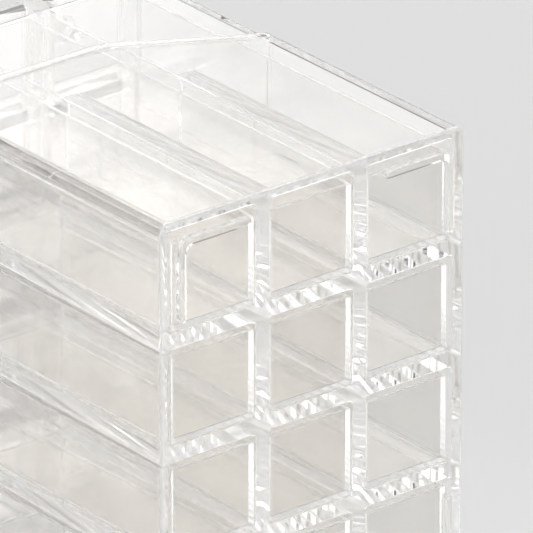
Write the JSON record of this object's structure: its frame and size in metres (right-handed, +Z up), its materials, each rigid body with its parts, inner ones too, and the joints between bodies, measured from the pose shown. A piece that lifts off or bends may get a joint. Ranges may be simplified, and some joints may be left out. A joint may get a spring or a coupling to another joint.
{
  "type": "cosmetics drawer organiser",
  "caption": "Clear tabletop cosmetics organiser: moulded rear shell with a grid of cells and corner ribs, a nested front frame and slim sliding tray drawers with round knobs.",
  "frame": {"origin": "centre of the bounding box in plan, at the level the feet stand on", "axes": "+Z up, drawers open towards -Y, the closed ribbed back faces +Y, the long side of the shaped rim is at +X"},
  "size_m": [0.1252, 0.186, 0.1668],
  "materials": {
    "clear_shell": "clear polished acrylic",
    "clear_tray": "clear polished acrylic",
    "soft_foot": "clear soft bumper"
  },
  "bodies": {
    "case": {"rear_shell": "clear_shell", "front_frame": "clear_shell", "foot_rear_left": "soft_foot", "foot_rear_right": "soft_foot", "foot_front_left": "soft_foot", "foot_front_right": "soft_foot"},
    "tray_r1c1": {"drawer_r1c1": "clear_tray", "knob_r1c1": "clear_tray"},
    "tray_r1c2": {"drawer_r1c2": "clear_tray", "knob_r1c2": "clear_tray"},
    "tray_r1c3": {"drawer_r1c3": "clear_tray", "knob_r1c3": "clear_tray"},
    "tray_r2c1": {"drawer_r2c1": "clear_tray", "knob_r2c1": "clear_tray"},
    "tray_r2c2": {"drawer_r2c2": "clear_tray", "knob_r2c2": "clear_tray"},
    "tray_r2c3": {"drawer_r2c3": "clear_tray", "knob_r2c3": "clear_tray"},
    "tray_r3c1": {"drawer_r3c1": "clear_tray", "knob_r3c1": "clear_tray"},
    "tray_r3c2": {"drawer_r3c2": "clear_tray", "knob_r3c2": "clear_tray"},
    "tray_r3c3": {"drawer_r3c3": "clear_tray", "knob_r3c3": "clear_tray"},
    "tray_r4c1": {"drawer_r4c1": "clear_tray", "knob_r4c1": "clear_tray"},
    "tray_r4c2": {"drawer_r4c2": "clear_tray", "knob_r4c2": "clear_tray"},
    "tray_r4c3": {"drawer_r4c3": "clear_tray", "knob_r4c3": "clear_tray"}
  },
  "joints": [
    {"name": "slide_r1c1", "type": "slide", "parent": "case", "child": "tray_r1c1", "axis": [0, -1, 0], "range_m": [0, 0.075]},
    {"name": "slide_r1c2", "type": "slide", "parent": "case", "child": "tray_r1c2", "axis": [0, -1, 0], "range_m": [0, 0.075]},
    {"name": "slide_r1c3", "type": "slide", "parent": "case", "child": "tray_r1c3", "axis": [0, -1, 0], "range_m": [0, 0.075]},
    {"name": "slide_r2c1", "type": "slide", "parent": "case", "child": "tray_r2c1", "axis": [0, -1, 0], "range_m": [0, 0.075]},
    {"name": "slide_r2c2", "type": "slide", "parent": "case", "child": "tray_r2c2", "axis": [0, -1, 0], "range_m": [0, 0.075]},
    {"name": "slide_r2c3", "type": "slide", "parent": "case", "child": "tray_r2c3", "axis": [0, -1, 0], "range_m": [0, 0.075]},
    {"name": "slide_r3c1", "type": "slide", "parent": "case", "child": "tray_r3c1", "axis": [0, -1, 0], "range_m": [0, 0.075]},
    {"name": "slide_r3c2", "type": "slide", "parent": "case", "child": "tray_r3c2", "axis": [0, -1, 0], "range_m": [0, 0.075]},
    {"name": "slide_r3c3", "type": "slide", "parent": "case", "child": "tray_r3c3", "axis": [0, -1, 0], "range_m": [0, 0.075]},
    {"name": "slide_r4c1", "type": "slide", "parent": "case", "child": "tray_r4c1", "axis": [0, -1, 0], "range_m": [0, 0.075]},
    {"name": "slide_r4c2", "type": "slide", "parent": "case", "child": "tray_r4c2", "axis": [0, -1, 0], "range_m": [0, 0.075]},
    {"name": "slide_r4c3", "type": "slide", "parent": "case", "child": "tray_r4c3", "axis": [0, -1, 0], "range_m": [0, 0.075]}
  ]
}
